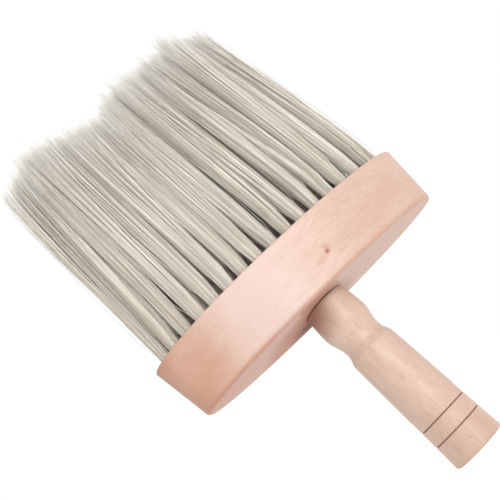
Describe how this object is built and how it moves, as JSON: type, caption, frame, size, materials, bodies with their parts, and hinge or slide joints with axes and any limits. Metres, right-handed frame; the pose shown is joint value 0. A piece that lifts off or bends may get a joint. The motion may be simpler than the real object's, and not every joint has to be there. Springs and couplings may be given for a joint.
{
  "type": "neck duster brush",
  "caption": "Barber's neck duster: an oval wooden head with long soft bristle tufts, on a short turned wooden handle with two grooves near its flat end.",
  "frame": {"origin": "centre of the handle's flat end, on the handle's axis", "axes": "+Z from the handle's end to the bristle tips, +X along the head's length, +Y across the head's width"},
  "size_m": [0.1548, 0.0464, 0.2474],
  "materials": {
    "head_wood": "fine-sanded pale beech with a thin satin lacquer",
    "handle_wood": "turned and sanded pale beech with a thin satin lacquer",
    "bristles": "soft warm-grey nylon filaments with a low silky sheen"
  },
  "bodies": {
    "root": {"head": "head_wood", "handle": "handle_wood", "bristle_tuft_01": "bristles", "bristle_tuft_02": "bristles", "bristle_tuft_03": "bristles", "bristle_tuft_04": "bristles", "bristle_tuft_05": "bristles", "bristle_tuft_06": "bristles", "bristle_tuft_07": "bristles", "bristle_tuft_08": "bristles", "bristle_tuft_09": "bristles", "bristle_tuft_10": "bristles", "bristle_tuft_11": "bristles", "bristle_tuft_12": "bristles", "bristle_tuft_13": "bristles", "bristle_tuft_14": "bristles", "bristle_tuft_15": "bristles", "bristle_tuft_16": "bristles", "bristle_tuft_17": "bristles", "bristle_tuft_18": "bristles", "bristle_tuft_19": "bristles", "bristle_tuft_20": "bristles", "bristle_tuft_21": "bristles", "bristle_tuft_22": "bristles", "bristle_tuft_23": "bristles", "bristle_tuft_24": "bristles", "bristle_tuft_25": "bristles", "bristle_tuft_26": "bristles", "bristle_tuft_27": "bristles", "bristle_tuft_28": "bristles", "bristle_tuft_29": "bristles", "bristle_tuft_30": "bristles", "bristle_tuft_31": "bristles", "bristle_tuft_32": "bristles", "bristle_tuft_33": "bristles", "bristle_tuft_34": "bristles", "bristle_tuft_35": "bristles", "bristle_tuft_36": "bristles", "bristle_tuft_37": "bristles", "bristle_tuft_38": "bristles", "bristle_tuft_39": "bristles", "bristle_tuft_40": "bristles", "bristle_tuft_41": "bristles", "bristle_tuft_42": "bristles", "bristle_tuft_43": "bristles", "bristle_tuft_44": "bristles", "bristle_tuft_45": "bristles", "bristle_tuft_46": "bristles", "bristle_tuft_47": "bristles", "bristle_tuft_48": "bristles", "bristle_tuft_49": "bristles", "bristle_tuft_50": "bristles", "bristle_tuft_51": "bristles", "bristle_tuft_52": "bristles", "bristle_tuft_53": "bristles", "bristle_tuft_54": "bristles", "bristle_tuft_55": "bristles", "bristle_tuft_56": "bristles"}
  },
  "joints": []
}
